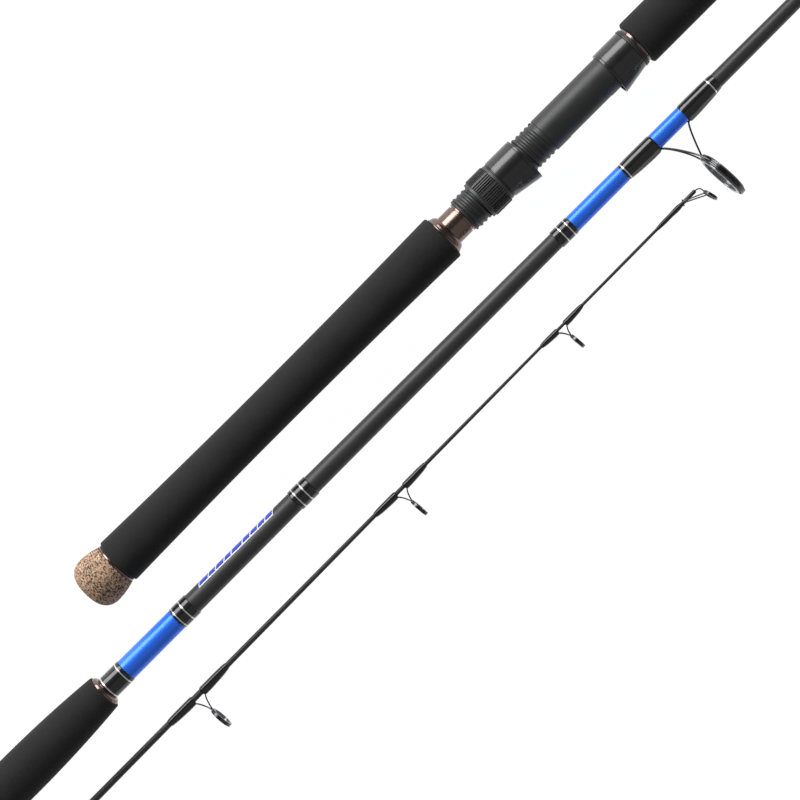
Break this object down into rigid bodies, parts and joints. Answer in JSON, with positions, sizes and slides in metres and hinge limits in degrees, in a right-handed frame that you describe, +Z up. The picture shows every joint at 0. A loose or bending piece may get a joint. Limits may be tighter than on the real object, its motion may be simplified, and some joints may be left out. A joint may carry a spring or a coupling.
{
  "type": "fishing rod",
  "caption": "Heavy spinning rod in three take-down sections laid side by side: cork-capped handle with screw reel seat, guided middle section and thin tip with ring guides.",
  "frame": {"origin": "centre of the whole set's footprint, on the flat surface that the three sections lie on", "axes": "+X along the rods towards the tip, +Y towards the handle section, guides point to -Y, +Z up"},
  "size_m": [1.277, 0.1393, 0.033],
  "materials": {
    "cork": "matt, granular",
    "foam": "matt, fine cells",
    "bronze": "anodised, satin",
    "seat": "satin, moulded",
    "gloss": "polished",
    "blank": "satin coat over fibre",
    "wrap": "thread under clear coat",
    "sleeve": "metallic blue under clear coat",
    "silver": "thread, bright",
    "wire": "dark plated wire",
    "ceramic": "polished grey",
    "pad": "matt",
    "bush": "plain"
  },
  "bodies": {
    "butt_section": {"handle_tube": "blank", "butt_cap": "cork", "butt_ring": "bronze", "rear_grip": "foam", "rear_collar": "bronze", "collar_trim_ring": "bronze", "seat_bushings": "bush", "seat_barrel": "seat", "fixed_hood": "gloss", "fixed_hood_pad": "pad", "seat_flange_ring": "seat", "fore_ring": "bronze", "fore_grip_rear": "foam"},
    "moving_hood": {"moving_hood": "gloss", "moving_hood_pad": "pad", "nut_washer": "seat"},
    "lock_nut": {"lock_nut": "seat"},
    "mid_section": {"mid_blank": "blank", "spigot": "blank", "fore_grip_front": "foam", "winding_check": "bronze", "check_wrap": "wrap", "rear_sleeve": "sleeve", "sleeve_wrap": "wrap", "accent_wrap": "wrap", "front_accent_wrap": "wrap", "front_sleeve": "sleeve", "stripper_wraps": "wrap", "bridge_sleeve": "sleeve", "trim_bands": "silver", "stripper_frame": "wire", "stripper_cushion": "pad", "stripper_ring": "ceramic", "guide_2_frame": "wire", "guide_2_cushion": "pad", "guide_2_ring": "ceramic", "guide_2_wraps": "wrap", "mid_ferrule_wrap": "wrap"},
    "tip_section": {"tip_blank": "blank", "tip_ferrule_wrap": "wrap", "guide_3_frame": "wire", "guide_3_ring": "ceramic", "guide_3_wraps": "wrap", "guide_4_frame": "wire", "guide_4_ring": "ceramic", "guide_4_wraps": "wrap", "guide_5_frame": "wire", "guide_5_ring": "ceramic", "guide_5_wraps": "wrap", "guide_6_frame": "wire", "guide_6_ring": "ceramic", "guide_6_wraps": "wrap", "tip_top_frame": "wire", "tip_top_ring": "ceramic", "tip_top_wrap": "wrap"}
  },
  "joints": [
    {"name": "hood_slide", "type": "slide", "parent": "butt_section", "child": "moving_hood", "axis": [1, 0, 0], "range_m": [-0.01, 0.036]},
    {"name": "nut_turn", "type": "hinge", "parent": "moving_hood", "child": "lock_nut", "pos_m": [0.0912, 0.05324, 0.0164], "axis": [1, 0, 0], "range_deg": [-1031, 3705]},
    {"name": "mid_lift", "type": "slide", "parent": "butt_section", "child": "mid_section", "axis": [0, 0, 1], "range_m": [0, 0.1]},
    {"name": "tip_lift", "type": "slide", "parent": "butt_section", "child": "tip_section", "axis": [0, 0, 1], "range_m": [0, 0.1]}
  ],
  "couplings": [
    {"joint": "nut_turn", "follows": "hood_slide", "rad_per_m": 1795.2}
  ]
}
